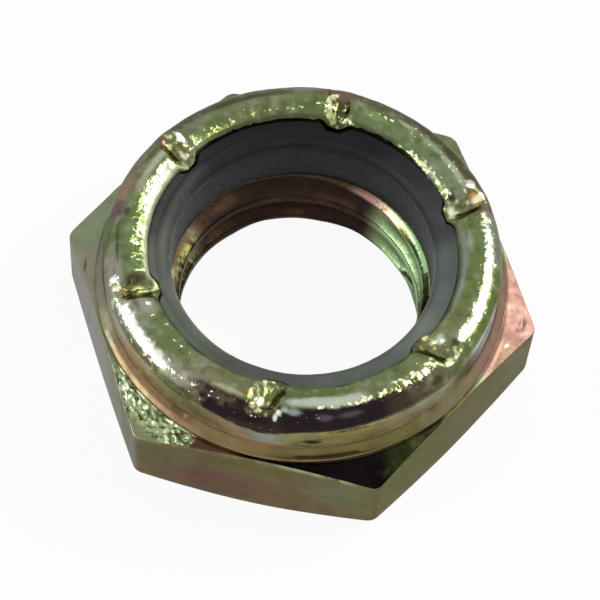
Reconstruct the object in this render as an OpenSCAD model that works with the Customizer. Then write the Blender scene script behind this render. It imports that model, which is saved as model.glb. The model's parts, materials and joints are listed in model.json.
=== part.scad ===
// Thin hexagon lock nut with a captive nylon ring: the steel collar is rolled
// over the ring and staked into it over the middle of each flat.
// Origin at the centre of the bearing face, +Z up through the collar, a corner on +X.

/* [Widths from the thread outward] */
// Minor diameter of the thread, which is the wall of the plain bore
thread_minor_d = 16.6; // [15:0.1:19]
// How much wider the ring's bore is than the minor diameter of the thread
ring_bore_over = 1.2; // [0.8:0.1:2]
// Width of the nylon ring from its bore to its rim
ring_w = 3.26; // [2.9:0.02:4]
// Clearance between the ring and the metal round it
ring_gap = 0.04; // [0.02:0.01:0.1]
// Thickness of the collar wall and of the rolled lip
collar_wall = 1.25; // [0.9:0.05:1.4]
// How far the collar wall stands inside the flats of the hexagon
collar_inset = 0.8; // [0.7:0.05:1.2]

/* [Hex body] */
// Height of the flats at the middle of a side
hex_h = 6.7; // [6:0.1:8]
// Rounding of the six upright corners
corner_r = 0.8; // [0.3:0.1:2]
// Slope of the chamfer on the top corners, in degrees
top_chamfer_angle = 16; // [10:1:35]
// Slope of the chamfer on the bottom corners, in degrees
bottom_chamfer_angle = 26; // [12:1:35]
// How far the edge of the flat bearing face lies inside the flats
bearing_inset = 0.25; // [0.1:0.05:1]

/* [Thread ends] */
// Width of the lead-in round the bore at the bearing face
lead_in_w = 1.6; // [0.6:0.1:2]
// Slope of the lead-in, in degrees from the bearing face
lead_in_angle = 32; // [20:1:50]
// Width of the small chamfer where the thread ends under the ring
thread_end_chamfer = 0.6; // [0.3:0.1:1]

/* [Collar] */
// Height from the top of the flats to the crest of the rolled lip
collar_h = 4.5; // [4:0.1:6]
// How far the foot of the collar stands out from its wall
foot_step = 0.65; // [0.2:0.05:0.7]
// Height of the upright edge of the foot above the top of the flats
foot_h = 0.25; // [0.1:0.05:0.5]
// Height of the flare between the edge of the foot and the wall
flare_h = 0.8; // [0.3:0.05:1.2]

/* [Rolled lip] */
// Inner radius of the bend between the wall and the lip
bend_r = 0.3; // [0.15:0.05:0.6]
// How far the lip is bent over from the upright wall, in degrees
lip_bend = 106; // [95:1:120]
// How far the lip reaches in from the face of the collar wall
lip_reach = 3; // [2.6:0.05:3.6]

/* [Stakes] */
// Number of stake marks, spread evenly from the middle of a flat
stakes = 6; // [3:1:12]
// Width of a stake mark
stake_w = 1.4; // [1:0.1:1.8]
// Depth of the outer end of a stake mark under the crest of the lip
stake_depth = 0.6; // [0.3:0.05:0.8]
// How far a stake mark falls towards the ring, in degrees
stake_fall = 10; // [0:1:16]
// Distance from the outer end of a stake mark to the face of the collar wall
stake_margin = 0.4; // [0.2:0.1:1]
// How far the pushed-in metal stands out from the lip over the ring
tongue_reach = 0.35; // [0.2:0.05:0.6]

/* [Nylon ring] */
// Depth of the seat of the ring under the top of the flats
seat_drop = 0.8; // [0.4:0.1:1.6]
// How far the top of the ring lies under the crest of the lip
ring_drop = 1; // [0.7:0.05:1.2]
// Edge chamfer of the ring's bore
ring_edge = 0.2; // [0.1:0.05:0.4]

/* [Hidden] */
$fn = 128;
zinc = [0.56, 0.55, 0.34];
nylon = [0.27, 0.29, 0.29];
overlap = 0.01;
cut_past = 1;

bore_r = thread_minor_d / 2;
lead_in_depth = lead_in_w * tan(lead_in_angle);
ring_r = bore_r + ring_bore_over / 2;
ring_outer_r = ring_r + ring_w;
seat_r = ring_outer_r + ring_gap;
collar_r = seat_r + collar_wall;
foot_r = collar_r + foot_step;

apothem = collar_r + collar_inset;
across_flats = 2 * apothem;
corner_reach = (apothem - corner_r) / cos(30) + corner_r;
inner_side = (apothem - corner_r) * 2 / sqrt(3);
blank_r = corner_reach + cut_past;
bearing_r = apothem - bearing_inset;

nut_h = hex_h + collar_h;
seat_z = hex_h - seat_drop;
ring_top = nut_h - ring_drop;
foot_top = hex_h + foot_h;
flare_top = foot_top + flare_h;

bend_outer_r = bend_r + collar_wall;
bend_at = [collar_r - bend_outer_r, nut_h - bend_outer_r];
lip_r = collar_r - lip_reach;
nose_r = collar_wall / 2;
lip_middle_r = bend_r + nose_r;
lip_length = (bend_at[0] + lip_middle_r * cos(lip_bend) - lip_r - nose_r) / sin(lip_bend);
nose_z = bend_at[1] + lip_middle_r * sin(lip_bend) + lip_length * cos(lip_bend);

stake_r = stake_w / 2;
stake_end = collar_r - stake_margin - stake_r;
stake_axis_z = nut_h - stake_depth + stake_r;
tongue_drop = 0.8 * nose_r;

// A hexagon with a corner on +X and every corner rounded by the same radius
module rounded_hexagon() {
    for (side = [0 : 2])
        rotate(30 + 60 * side) square([across_flats, inner_side], center = true);
    for (corner = [0 : 5])
        rotate(60 * corner) translate([corner_reach - corner_r, 0]) circle(corner_r);
}

// Half section of the cone-ended blank that leaves the chamfers on the corners
module chamfer_section() {
    bottom_rise = (blank_r - bearing_r) * tan(bottom_chamfer_angle);
    top_fall = (blank_r - apothem) * tan(top_chamfer_angle);
    polygon([
        [0, 0],
        [bearing_r, 0],
        [blank_r, bottom_rise],
        [blank_r, hex_h - top_fall],
        [apothem, hex_h],
        [0, hex_h],
    ]);
}

module hex_body() {
    intersection() {
        linear_extrude(nut_h) rounded_hexagon();
        rotate_extrude() chamfer_section();
    }
}

// Half section of the rolled lip from the top of the wall, grown by gap underneath
module lip_section(gap = 0) {
    reach = 2 * bend_outer_r;
    translate(bend_at) {
        intersection() {
            difference() {
                circle(bend_outer_r);
                circle(bend_r - gap);
            }
            polygon([
                [0, 0],
                [reach, 0],
                [reach, reach],
                [reach * cos(lip_bend), reach],
                [reach * cos(lip_bend), reach * sin(lip_bend)],
            ]);
        }
        rotate(lip_bend) {
            translate([bend_r - gap, -overlap])
                square([collar_wall + gap, lip_length + overlap]);
            translate([lip_middle_r, lip_length]) circle(nose_r + gap);
        }
    }
}

// Half section of the collar wall and its flared foot, from the seat of the ring up
module wall_section() {
    wall_top = bend_at[1] + overlap;
    polygon([
        [seat_r, seat_z],
        [foot_r, seat_z],
        [foot_r, foot_top],
        [collar_r, flare_top],
        [collar_r, wall_top],
        [seat_r, wall_top],
    ]);
}

// Half section of what is bored out under the ring: lead-in, bore and end chamfer
module bore_section() {
    mouth_r = bore_r + lead_in_w + cut_past / tan(lead_in_angle);
    polygon([
        [0, -cut_past],
        [mouth_r, -cut_past],
        [bore_r, lead_in_depth],
        [bore_r, seat_z - thread_end_chamfer],
        [bore_r + thread_end_chamfer, seat_z],
        [bore_r + thread_end_chamfer, seat_z + overlap],
        [0, seat_z + overlap],
    ]);
}

// One stake mark on the +X side: a round-bottomed groove that falls towards the ring
module stake_groove() {
    translate([stake_end, 0, stake_axis_z]) {
        sphere(stake_r);
        rotate([0, -90 - stake_fall, 0]) cylinder(h = stake_end - bore_r, r = stake_r);
    }
}

// The metal that one stake pushes in over the ring, on the +X side
module stake_tongue(gap = 0) {
    translate([lip_r + stake_r - tongue_reach, 0, nose_z - tongue_drop - gap])
        cylinder(h = tongue_drop + gap, r = stake_r + gap);
}

// Repeats its child at every stake mark
module at_stakes() {
    for (k = [0 : stakes - 1]) rotate(30 + 360 / stakes * k) children();
}

module nut_body() {
    color(zinc) difference() {
        union() {
            difference() {
                hex_body();
                translate([0, 0, seat_z]) cylinder(h = nut_h, r = seat_r);
            }
            rotate_extrude() {
                wall_section();
                lip_section();
            }
            at_stakes() stake_tongue();
        }
        rotate_extrude() bore_section();
        at_stakes() stake_groove();
    }
}

// Half section of the ring before the lip is rolled over it
module ring_section() {
    polygon([
        [ring_r + ring_edge, seat_z],
        [ring_outer_r, seat_z],
        [ring_outer_r, ring_top],
        [ring_r + ring_edge, ring_top],
        [ring_r, ring_top - ring_edge],
        [ring_r, seat_z + ring_edge],
    ]);
}

module nylon_ring() {
    color(nylon) difference() {
        rotate_extrude() difference() {
            ring_section();
            lip_section(ring_gap);
        }
        at_stakes() stake_tongue(ring_gap);
    }
}

nut_body();
nylon_ring();
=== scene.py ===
import json
import math
from collections import namedtuple

import bpy
import numpy as np
from mathutils import Matrix, Vector, noise


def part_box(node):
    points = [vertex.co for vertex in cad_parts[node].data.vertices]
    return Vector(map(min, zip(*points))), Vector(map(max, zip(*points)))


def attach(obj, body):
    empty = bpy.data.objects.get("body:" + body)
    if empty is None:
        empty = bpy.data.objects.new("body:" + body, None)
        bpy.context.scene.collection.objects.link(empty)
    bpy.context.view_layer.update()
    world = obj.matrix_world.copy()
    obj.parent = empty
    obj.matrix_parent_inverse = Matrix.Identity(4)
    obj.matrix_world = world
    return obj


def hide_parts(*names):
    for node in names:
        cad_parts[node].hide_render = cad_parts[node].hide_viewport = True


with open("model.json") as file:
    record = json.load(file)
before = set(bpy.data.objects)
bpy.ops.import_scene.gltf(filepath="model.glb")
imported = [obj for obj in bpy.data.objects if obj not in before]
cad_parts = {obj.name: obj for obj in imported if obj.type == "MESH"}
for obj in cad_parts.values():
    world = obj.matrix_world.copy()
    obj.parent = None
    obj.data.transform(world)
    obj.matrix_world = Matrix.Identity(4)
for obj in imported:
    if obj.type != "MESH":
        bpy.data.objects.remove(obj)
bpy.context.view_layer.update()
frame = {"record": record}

# Lengths are in millimetres until a mesh, a lamp or the camera is made from them.
MM = 0.001


def from_frame(metres):
    """Millimetres of a length in the frame, to the hundredth that it was modelled in."""
    return round(metres / MM, 2)


# Sizes that the frame gives: the boxes of both nodes and the radii of the round mounts
nut_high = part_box("nut_body")[1]
ring_low, ring_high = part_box("nylon_ring")
dims = {mount["name"]: mount["dims"] for mount in frame["record"]["mounts"]}
APOTHEM = from_frame(nut_high[1])
NUT_H = from_frame(nut_high[2])
SEAT_Z = from_frame(ring_low[2])
RING_TOP = from_frame(ring_high[2])
RING_OUTER_R = from_frame(ring_high[0])
RING_R = dims["locking_bore"]["r_mm"]
MINOR_R = dims["thread"]["r_mm"]

# The other sizes of the solids, worked out as in the part's own source
CORNER_R = 0.8
CORNER_AT = (APOTHEM - CORNER_R) / math.cos(math.radians(30))
BEARING_R = APOTHEM - 0.25
TOP_SLOPE = math.tan(math.radians(16))
BOTTOM_SLOPE = math.tan(math.radians(26))
COLLAR_H = 4.5
HEX_H = NUT_H - COLLAR_H
FLARE_TOP = HEX_H + 1.05
RING_GAP = 0.04
SEAT_R = RING_OUTER_R + RING_GAP
COLLAR_WALL = 1.25
COLLAR_R = SEAT_R + COLLAR_WALL
BEND_R = 0.3
BEND_OUTER_R = BEND_R + COLLAR_WALL
BEND_AT = (COLLAR_R - BEND_OUTER_R, NUT_H - BEND_OUTER_R)
LIP_BEND = 106
NOSE_R = COLLAR_WALL / 2
RING_EDGE = 0.2
STAKE_END = COLLAR_R - 0.4
STAKE_FALL = math.tan(math.radians(10))
TONGUE_REACH = 0.35

# Middle of the rounded end of the lip: radius and height
NOSE_AT = (11.078, 10.376)

# The ring as it shows: how far it swells up beside the lip, and how deep it presses on it
RING_RISE = 0.22
RING_TOUCH = 0.015

# The thread that the plain bore of the solids stands for: 3/4-10, right-handed
PITCH = 2.54
MAJOR_R = 9.525
CREST_W = 0.72
ROOT_W = 0.405
FLANK_W = (PITCH - CREST_W - ROOT_W) / 2
LEAD_IN_R = MINOR_R + 1.6
LEAD_IN_SLOPE = math.tan(math.radians(32))
THREAD_END = 0.6

# What each row of the steel's mesh belongs to
POCKET, LIP, WALL, FOOT, SHOULDER, FACE, UNDER, BORE = range(8)


def smooth(value, low, high):
    """0 below low, 1 above high, and a soft step between them; high may be the lower one."""
    t = np.clip((value - low) / (high - low), 0, 1)
    return t * t * (3 - 2 * t)


def turn_from(angle, centre):
    """Signed angle in degrees from centre, between -180 and 180."""
    return (angle - centre + 180) % 360 - 180


def near(angle, centre, half, soft=8):
    """1 within half degrees of centre, fading out over soft degrees more."""
    return smooth(np.abs(turn_from(angle, centre)), half + soft, half)


def hump(offset, width):
    """1 where offset is 0, falling off as a bell of this width."""
    return np.exp(-(offset / width) ** 2)


def grain(points, size, seed):
    """Soft noise from -1 to 1 at points of an array of any shape, with features of this size."""
    shift = Vector((seed * 17.3, seed * 5.1, seed * 9.7))
    flat = points.reshape(-1, 3) / size
    return np.array([noise.noise(Vector(p) + shift) for p in flat]).reshape(points.shape[:-1])


def tone(red, green, blue):
    """Linear colour of an sRGB colour written from 0 to 255."""
    c = np.array([red, green, blue]) / 255
    return np.where(c <= 0.04045, c / 12.92, ((c + 0.055) / 1.055) ** 2.4)


def add_object(name, data):
    """New object of this name and data, in the scene."""
    added = bpy.data.objects.new(name, data)
    bpy.context.scene.collection.objects.link(added)
    return added


def direction(azimuth, elevation):
    """Unit vector, from angles in degrees round +Z from +X and up from the floor."""
    a, e = math.radians(azimuth), math.radians(elevation)
    return Vector((math.cos(a) * math.cos(e), math.sin(a) * math.cos(e), math.sin(e)))


def make_camera():
    """Camera fitted to the corners of the hexagon, the lip and the bore in the photograph."""
    back = direction(-82.45, 60.05)
    aim = Vector((0.16, -0.74, 5.0)) * MM
    distance = 172.16 * MM
    roll = math.radians(5.19)
    data = bpy.data.cameras.new("camera")
    data.sensor_width = 36
    data.lens = 150
    data.clip_start = 0.01
    data.clip_end = 10
    camera = add_object("camera", data)
    turn = (-back).to_track_quat("-Z", "Y").to_matrix().to_4x4()
    place = Matrix.Translation(aim + back * distance)
    camera.matrix_world = place @ turn @ Matrix.Rotation(roll, 4, "Z")
    bpy.context.scene.camera = camera


make_camera()


# Mesh of a ring-shaped piece: rows run round the axis, columns follow its section

def hexagon_radius(angle):
    """Distance from the axis to the rounded hexagon, in the direction of each angle."""
    off = np.abs((angle + 30) % 60 - 30)
    flat = APOTHEM / np.cos(np.radians(30 - off))
    off = np.radians(off)
    inside = np.clip(CORNER_R ** 2 - (CORNER_AT * np.sin(off)) ** 2, 0, None)
    corner = CORNER_AT * np.cos(off) + np.sqrt(inside)
    tangent_at = math.atan2(CORNER_R * math.sin(math.radians(30)),
                            CORNER_AT + CORNER_R * math.cos(math.radians(30)))
    return np.where(off < tangent_at, corner, flat)


def steel_angles():
    """Column angles in degrees, closest at the corners, the stake marks and the torn corner."""
    corner, stake = 1.6, 4.8
    parts = [(0, corner, 5), (corner, 30 - stake, 26), (30 - stake, 30 + stake, 32),
             (30 + stake, 60 - corner, 26), (60 - corner, 60, 5)]
    sector = np.concatenate([np.linspace(a, b, n, endpoint=False) for a, b, n in parts])
    angles = np.concatenate([sector + 60 * k for k in range(6)])
    torn = np.linspace(222, 255, 88)
    spare = 0.2
    angles = angles[(angles < torn[0] - spare) | (angles > torn[-1] + spare)]
    return np.sort(np.concatenate([angles, torn]))


def thread_radius(along):
    """Radius of the thread at a height within one pitch, from the start of its crest."""
    along = along % PITCH
    knots = [0, CREST_W, CREST_W + FLANK_W, CREST_W + FLANK_W + ROOT_W, PITCH]
    return np.interp(along, knots, [MINOR_R, MINOR_R, MAJOR_R, MAJOR_R, MINOR_R])


class Grid:
    """Rows of points round the axis that make one closed skin."""

    def __init__(self, angles):
        self.angles = angles
        self.rows = []
        self.zones = []
        self.shift = {}

    def add(self, radius, height, out, zone):
        """One row: radius, height and outward direction, each a number or one value a column."""
        ones = np.ones(len(self.angles))
        self.rows.append([radius * ones, height * ones, out[0] * ones, out[1] * ones])
        self.zones.append(zone)

    def line(self, start, stop, count, out, zone):
        """Rows on a straight line in the section, without its first point."""
        for k in range(1, count + 1):
            t = k / count
            self.add(start[0] + (stop[0] - start[0]) * t, start[1] + (stop[1] - start[1]) * t,
                     out, zone)

    def arc(self, centre, radius, start, stop, count, zone, side=1):
        """Rows on an arc in the section, angles in degrees; side is -1 for a hollow."""
        for a in np.radians(np.linspace(start, stop, count)):
            out = (math.cos(a), math.sin(a))
            self.add(centre[0] + radius * out[0], centre[1] + radius * out[1],
                     (side * out[0], side * out[1]), zone)

    def thread(self, low, high):
        """Rows that follow the helix between two heights, clamped to both.

        Steps are the heights of the rows of one turn, two near each edge of crest and root. Where
        the rows close round the axis, each one goes on as the row one turn further.
        """
        steps = [0.04, 0.36, 0.68, 0.77, 1.07, 1.38, 1.48, 1.63, 1.79, 1.88, 2.18, 2.49]
        rise = PITCH * self.angles / 360
        self.add(LEAD_IN_R, low, (-1, 0), BORE)
        first = len(self.rows)
        turns = 2 + math.ceil((high - low - steps[0]) / PITCH)
        count = turns * len(steps)
        for i in range(count + 1):
            at = (i // len(steps) - 1) * PITCH + steps[i % len(steps)]
            height = np.clip(low + at + rise, low, high)
            radius = thread_radius(height - low - rise)
            lead_in = LEAD_IN_R - (height - low) / LEAD_IN_SLOPE
            lead_out = MINOR_R + height - (high - THREAD_END)
            self.add(np.maximum(radius, np.maximum(lead_in, lead_out)), height, (-1, 0), BORE)
        for i in range(count + 1):
            self.shift[first + i] = first + min(i + len(steps), count)

    def points(self):
        """Array of rows by columns by x, y, z."""
        data = np.array(self.rows)
        angle = np.radians(self.angles)
        return np.stack([data[:, 0] * np.cos(angle), data[:, 0] * np.sin(angle), data[:, 1]], 2)

    def level_off(self, low, high):
        """Moves what lies under low or over high back to it."""
        for row in self.rows:
            row[1] = np.clip(row[1], low, high)

    def displace(self, amount):
        """Moves every point along its outward direction by one amount a point."""
        for row, move in zip(self.rows, amount):
            row[0] = row[0] + row[2] * move
            row[1] = row[1] + row[3] * move

    def mesh(self, name, attributes, turned=False):
        """The closed mesh, in metres, with coinciding points merged.

        Turned is for a section that runs the other way round: out, up and in.
        """
        points = self.points()
        count, columns = points.shape[:2]
        row, column = np.meshgrid(np.arange(count), np.arange(columns), indexing="ij")
        below = (row + 1) % count
        beside = (column + 1) % columns
        moved = np.arange(count)
        for source, target in self.shift.items():
            moved[source] = target
        last = beside == 0
        row_beside = np.where(last, moved[row], row)
        below_beside = np.where(last, moved[below], below)
        quads = np.stack([row * columns + column, below * columns + column,
                          below_beside * columns + beside, row_beside * columns + beside], 2)
        flat = np.round(points.reshape(-1, 3), 5)
        unique, first, index = np.unique(flat, axis=0, return_index=True, return_inverse=True)
        quads = index.reshape(-1)[quads.reshape(-1, 4)]
        same = quads == np.roll(quads, -1, axis=1)
        whole = quads[~same.any(axis=1)]
        whole = whole[(whole[:, 0] != whole[:, 2]) & (whole[:, 1] != whole[:, 3])]
        faces = whole.tolist()
        for quad, equal in zip(quads[same.sum(axis=1) == 1], same[same.sum(axis=1) == 1]):
            faces.append([int(v) for v, skip in zip(quad, equal) if not skip])
        if turned:
            faces = [face[::-1] for face in faces]
        data = bpy.data.meshes.new(name)
        data.from_pydata((unique * MM).tolist(), [], faces)
        for key, values in attributes.items():
            values = values.reshape(count * columns, -1)[first]
            if values.shape[1] == 3:
                layer = data.attributes.new(key, "FLOAT_COLOR", "POINT")
                rgba = np.concatenate([values, np.ones((len(values), 1))], axis=1)
                layer.data.foreach_set("color", rgba.ravel())
            else:
                layer = data.attributes.new(key, "FLOAT", "POINT")
                layer.data.foreach_set("value", values.ravel())
        data.polygons.foreach_set("use_smooth", [True] * len(data.polygons))
        data.update()
        return add_object(name, data)


# The steel nut

def steel_grid():
    """Section of the nut, row by row, from the hollow of the lip out, down, in and up."""
    grid = Grid(steel_angles())
    hex_r = hexagon_radius(grid.angles)
    lip = math.radians(LIP_BEND)
    upper = (math.cos(lip), math.sin(lip))
    top_start = (BEND_AT[0] + BEND_OUTER_R * upper[0], BEND_AT[1] + BEND_OUTER_R * upper[1])
    top_end = (NOSE_AT[0] + NOSE_R * upper[0], NOSE_AT[1] + NOSE_R * upper[1])
    grid.arc(BEND_AT, BEND_R, 0, LIP_BEND, 4, POCKET, side=-1)
    grid.arc(NOSE_AT, NOSE_R, LIP_BEND + 180, LIP_BEND, 17, LIP)
    grid.line(top_end, top_start, 4, upper, LIP)
    grid.arc(BEND_AT, BEND_OUTER_R, LIP_BEND - 5, 0, 22, LIP)
    grid.line((COLLAR_R, BEND_AT[1]), (COLLAR_R, FLARE_TOP + 0.1), 9, (1, 0), WALL)
    # The flare under the wall and the edge of the foot: how far out, how far down
    flare = [(0.02, -0.08), (0.07, -0.2), (0.16, -0.34), (0.28, -0.48), (0.42, -0.62),
             (0.54, -0.72), (0.61, -0.79), (0.645, -0.86), (0.65, -0.93), (0.65, -1.0),
             (0.62, -1.04)]
    for out, drop in flare:
        grid.add(COLLAR_R + out, FLARE_TOP + drop, (0.8, 0.6), FOOT)

    def shoulder_z(radius):
        return HEX_H - np.clip(radius - APOTHEM, 0, None) * TOP_SLOPE

    edge = hex_r - 0.1
    foot = COLLAR_R + 0.61
    for t in np.linspace(0.02, 1, 21):
        radius = foot + (edge - foot) * t
        grid.add(radius, shoulder_z(radius), (0, 1), SHOULDER)
    top = shoulder_z(hex_r)
    bottom = (hex_r - BEARING_R) * BOTTOM_SLOPE
    grid.add(hex_r - 0.03, top, (0.7, 0.7), SHOULDER)
    for t in np.linspace(0, 1, 13):
        grid.add(hex_r, top - 0.07 + (bottom + 0.14 - top) * t, (1, 0), FACE)
    grid.add(hex_r - 0.03, bottom, (0.7, -0.7), UNDER)
    for t in np.linspace(0.06, 1, 7):
        grid.add(hex_r + (BEARING_R - hex_r) * t, bottom * (1 - t), (0, -1), UNDER)
    for radius in (13.9, 13.4, 12.8, 12.1, 11.4, 10.8, 10.3, 10.0):
        grid.add(radius, 0, (0, -1), UNDER)
    grid.thread(0, SEAT_Z)
    for t in (0.15, 0.5, 1):
        grid.add(grid.rows[-1][0] * (1 - t) + SEAT_R * t, SEAT_Z, (0, 1), POCKET)
    grid.line((SEAT_R, SEAT_Z), (SEAT_R, BEND_AT[1] - 0.1), 3, (-1, 0), POCKET)
    return grid


# Each stake mark: its middle in degrees, half width, depth, slope across it and twist
Mark = namedtuple("Mark", "at half depth lean twist")
FAINT_MARK = Mark(89.5, 1.1, 0.32, 0.08, 0.05)
MARKS = [Mark(30.5, 1.15, 0.52, 0.2, -0.1), FAINT_MARK, Mark(150.8, 1.1, 0.46, -0.18, 0.12),
         Mark(-150.5, 1.15, 0.58, 0.22, 0.02), Mark(-90, 1.25, 0.5, -0.12, 0.16),
         Mark(-28.5, 1.15, 0.48, 0.24, -0.2)]


def across_mark(mark, angle, radius):
    """Distance from the mark's middle line, which twists about the middle of the lip."""
    return np.radians(turn_from(angle, mark.at)) * radius + mark.twist * (radius - 11.7)


def stake_marks(grid):
    """Sinks the six stake marks into the lip, with raised rims and a tab over the ring."""
    points = grid.points()
    lumps = 0.1 * grain(points, 0.8, 15) + 0.05 * grain(points, 0.36, 16)
    for mark in MARKS:
        for i, row in enumerate(grid.rows):
            radius, height = row[0], row[1]
            if grid.zones[i] != LIP or height[0] < 9.7:
                continue
            side = across_mark(mark, grid.angles, radius)
            off = np.abs(side) / mark.half
            across = smooth(off, 1, 0.12)
            along = smooth(radius, STAKE_END + 0.25, STAKE_END - 0.9)
            floor = NUT_H - mark.depth - (STAKE_END - radius) * STAKE_FALL
            floor = floor + mark.lean * side + lumps[i]
            rim = hump(np.abs(side) - 1.02 * mark.half, 0.26)
            rim = rim * smooth(radius, 10.6, 11.6) * smooth(radius, STAKE_END + 0.4, STAKE_END)
            end = hump(radius - STAKE_END - 0.1, 0.25) * smooth(off, 1.2, 0.5)
            tab = smooth(off, 0.9, 0.3) * smooth(radius, 11.3, 10.5) * smooth(height, 9.75, 9.85)
            row[1] = height + (np.minimum(height, floor) - height) * across * along
            row[1] = row[1] + 0.05 * np.maximum(rim, end)
            row[0] = radius - TONGUE_REACH * tab + 0.06 * end * across


# The torn corner: its middle in degrees and how many facets it is torn into
TORN_AT = -122
CHIPS = 170


def chipped_corner(grid, points):
    """Torn facets on the shoulder by one corner: a height for every point."""
    rng = np.random.default_rng(11)
    lift = np.zeros(points.shape[:2])
    angle = np.radians(rng.uniform(-137, -106, CHIPS))
    radius = rng.uniform(14.0, 15.8, CHIPS)
    seeds = np.stack([radius * np.cos(angle), radius * np.sin(angle)], 1)
    level = rng.uniform(-0.24, 0.04, CHIPS)
    slope = rng.uniform(-0.75, 0.75, (CHIPS, 2))
    beside = np.abs(turn_from(grid.angles, TORN_AT)) < 18
    for i, zone in enumerate(grid.zones):
        if zone != SHOULDER:
            continue
        flat = points[i, beside, :2]
        gap = np.linalg.norm(flat[:, None] - seeds[None], axis=2)
        best = gap.argmin(axis=1)
        facet = level[best] + np.einsum("ij,ij->i", flat - seeds[best], slope[best])
        r = np.linalg.norm(flat, axis=1)
        inside = near(np.degrees(np.arctan2(flat[:, 1], flat[:, 0])), TORN_AT, 13.5, 2)
        inside = inside * smooth(r, 15.75, 15.3) * smooth(r, 14.08, 14.16)
        lift[i, beside] = facet * inside
    return lift


# The tool line round the foot of the wall, and how wide it is
GROOVE_Z = 7.66
GROOVE_W = 0.08

# Short slots beside it, the last one on the side away from the camera: middle in degrees,
# height, half length in degrees, width
SLOTS = [(-75, 8.38, 2.6, 0.11), (-38, 7.62, 1.5, 0.1), (-114.5, 7.6, 2.6, 0.08),
         (-71, 7.14, 10, 0.05), (-131.5, 7.85, 0.8, 0.12), (150, 8.3, 1.8, 0.12)]

# Pits in the shoulders: degrees, radius, half length, half width, depth
PITS = [(0.6, 15.4, 0.45, 0.16, 0.14), (-3.5, 15.15, 0.22, 0.22, 0.07),
        (-7.5, 14.75, 0.3, 0.16, 0.05), (189, 14.8, 0.5, 0.12, 0.06), (57, 15.2, 0.3, 0.2, 0.06)]


def steel_bumps(grid):
    """Uneven metal: rolled lip, collar, ragged edges, dents and torn facets."""
    points = grid.points()
    zones = np.array(grid.zones)[:, None]
    radius, height = points[..., 0], points[..., 2]
    radius = np.hypot(radius, points[..., 1])
    angle = grid.angles[None, :]
    top = (zones == LIP) & (height > 9.9)
    move = np.zeros(points.shape[:2])
    move += top * (0.05 * grain(points, 2.6, 1) + 0.018 * grain(points, 0.75, 2))
    inner = smooth(radius, 11.2, 10.6) * top
    creases = grain(points * np.array([1, 1, 0.3]), 0.45, 3)
    far = near(angle, 70, 18, 16)
    move += inner * (0.05 * grain(points, 1.2, 4) + far * 0.11 * creases)
    wall = (zones == WALL) | (zones == FOOT)
    move += wall * (0.02 * grain(points, 2.2, 5) + 0.012 * grain(points, 0.6, 6))
    groove = hump(height - GROOVE_Z - 0.1 * grain(points, 5, 7), GROOVE_W)
    move -= wall * (0.09 * groove * near(angle, -105, 30, 32))
    for at, level, half, width in SLOTS:
        slot = near(angle, at, 0.7 * half, 0.3 * half) * hump(height - level, width)
        move -= wall * (0.14 * slot)
    rim = (zones == FOOT) & (height < 7.05)
    move -= rim * (0.04 + 0.03 * grain(points, 1.1, 8))
    shoulder = zones == SHOULDER
    move += shoulder * (0.035 * grain(points, 1.3, 9) - 0.02)
    move += chipped_corner(grid, points)
    for at, place, half, width, deep in PITS:
        along = np.radians(turn_from(angle, at)) * radius
        move -= shoulder * deep * hump(along, half) * hump(radius - place, width)
    face = zones == FACE
    move -= face * (0.012 + 0.012 * grain(points, 3, 11))
    arris = face & (height > HEX_H - 0.9) & (np.roll(zones, 1, axis=0) == SHOULDER)
    move -= arris * 0.05 * np.abs(grain(points, 0.4, 13))
    bore = zones == BORE
    move += bore * (0.02 * grain(points, 1.5, 12) * smooth(height, 0.05, 0.4))
    move -= 0.012 * ((zones == UNDER) & (radius > 14.02))
    grid.displace(move)
    grid.level_off(0, NUT_H)


class Coat:
    """Colour of the plating with its painted light and shade, roughness, orange peel and painted
    glints, one value a point.
    """

    def __init__(self, grid):
        self.points = grid.points()
        shape = self.points.shape[:2]
        self.zone = np.array(grid.zones)[:, None] * np.ones(shape, int)
        self.radius = np.hypot(self.points[..., 0], self.points[..., 1])
        self.height = self.points[..., 2]
        self.angle = np.degrees(np.arctan2(self.points[..., 1], self.points[..., 0]))
        self.colour = np.zeros(shape + (3,))
        self.rough = np.full(shape, 0.3)
        self.peel = np.zeros(shape)
        self.fleck = np.zeros(shape)
        self.ragged = 0.5 * grain(self.points, 0.9, 21) + 0.3 * grain(self.points, 0.35, 22)
        self.cloud = grain(self.points, 3.2, 23) + 0.5 * self.ragged
        self.spark = grain(self.points, 0.34, 25)

    def near(self, centre, half, soft=8):
        """The share of near() for every point of the mesh."""
        return near(self.angle, centre, half, soft)

    def base(self, weight, colour):
        """Lays a colour where weight is 1."""
        weight = np.asarray(weight, float)[..., None]
        self.colour += (tone(*colour) - self.colour) * weight

    def sectors(self, weight, table, soft=8):
        """Lays colours over stretches round the axis: middle, half, share and colour of each."""
        for centre, half, share, colour in table:
            self.base(weight * self.near(centre, half, soft) * share, colour)

    def blots(self, zones, table, ragged=0.45, edge=0.35):
        """Patches on these zones: degrees, place, half length and width, share and colour.

        A place is (radius, height), or the radius alone on the upper skin of the lip.
        """
        there = np.isin(self.zone, zones)
        for at, place, size, share, colour in table:
            radius, height = on_lip(place) if np.isscalar(place) else place
            along = np.radians(turn_from(self.angle, at)) * self.radius / size[0]
            across = np.hypot(self.radius - radius, self.height - height) / size[1]
            reach = np.hypot(along, across) + ragged * self.ragged
            self.base(there * share * smooth(reach, 1 + edge, 1 - edge), colour)
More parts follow.
